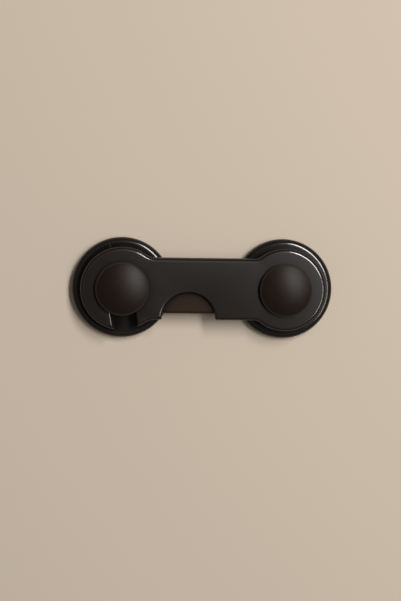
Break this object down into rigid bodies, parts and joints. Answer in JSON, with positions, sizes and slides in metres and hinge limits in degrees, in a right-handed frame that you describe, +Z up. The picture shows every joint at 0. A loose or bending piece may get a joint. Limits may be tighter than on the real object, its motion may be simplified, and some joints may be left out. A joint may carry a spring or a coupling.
{
  "type": "cabinet safety lock",
  "caption": "Stick-on swivel lock for a pair of cupboard doors: an arm turns on one knob and hooks the other, with a push-up release tab in a half-moon notch.",
  "frame": {"origin": "centre of the pivot base's adhesive back face, on the door and on the arm's pivot axis", "axes": "+Y into the door, so the front faces -Y; +Z up; +X along the arm from the keeper to the pivot"},
  "size_m": [0.1179, 0.0169, 0.045],
  "materials": {
    "base_plastic": "satin black moulded plastic",
    "arm_plastic": "fine satin black moulded plastic",
    "knob_plastic": "fine satin black moulded plastic",
    "button_plastic": "brown-black moulded plastic",
    "acetal": "natural acetal",
    "foam_tape": "adhesive foam tape",
    "screw_steel": "zinc-plated steel",
    "spring_steel": "spring wire"
  },
  "bodies": {
    "bases": {"keeper_pad": "foam_tape", "keeper_base": "base_plastic", "keeper_screw": "screw_steel", "keeper_knob": "knob_plastic", "pivot_pad": "foam_tape", "pivot_base": "base_plastic", "pivot_screw": "screw_steel", "pivot_washer": "acetal", "pivot_knob": "knob_plastic"},
    "arm": {"arm_cover": "arm_plastic", "arm_back_plate": "arm_plastic", "arm_screws": "screw_steel", "return_spring": "spring_steel"},
    "button": {"release_button": "button_plastic"},
    "latch": {"latch_slider": "acetal", "latch_tongue": "acetal"}
  },
  "joints": [
    {"name": "arm_swing", "type": "hinge", "parent": "bases", "child": "arm", "pos_m": [0, 0, 0], "axis": [0, 1, 0], "range_deg": [0, 340], "deforming": ["latch_tongue"]},
    {"name": "release_press", "type": "slide", "parent": "arm", "child": "button", "axis": [0, 0, 1], "range_m": [0, 0.003], "stiffness_N_per_m": 500, "springref_m": -0.002},
    {"name": "latch_slide", "type": "slide", "parent": "arm", "child": "latch", "axis": [1, 0, 0], "range_m": [0, 0.003], "deforming": ["return_spring"]}
  ],
  "couplings": [
    {"joint": "latch_slide", "follows": "release_press", "ratio": 1}
  ]
}
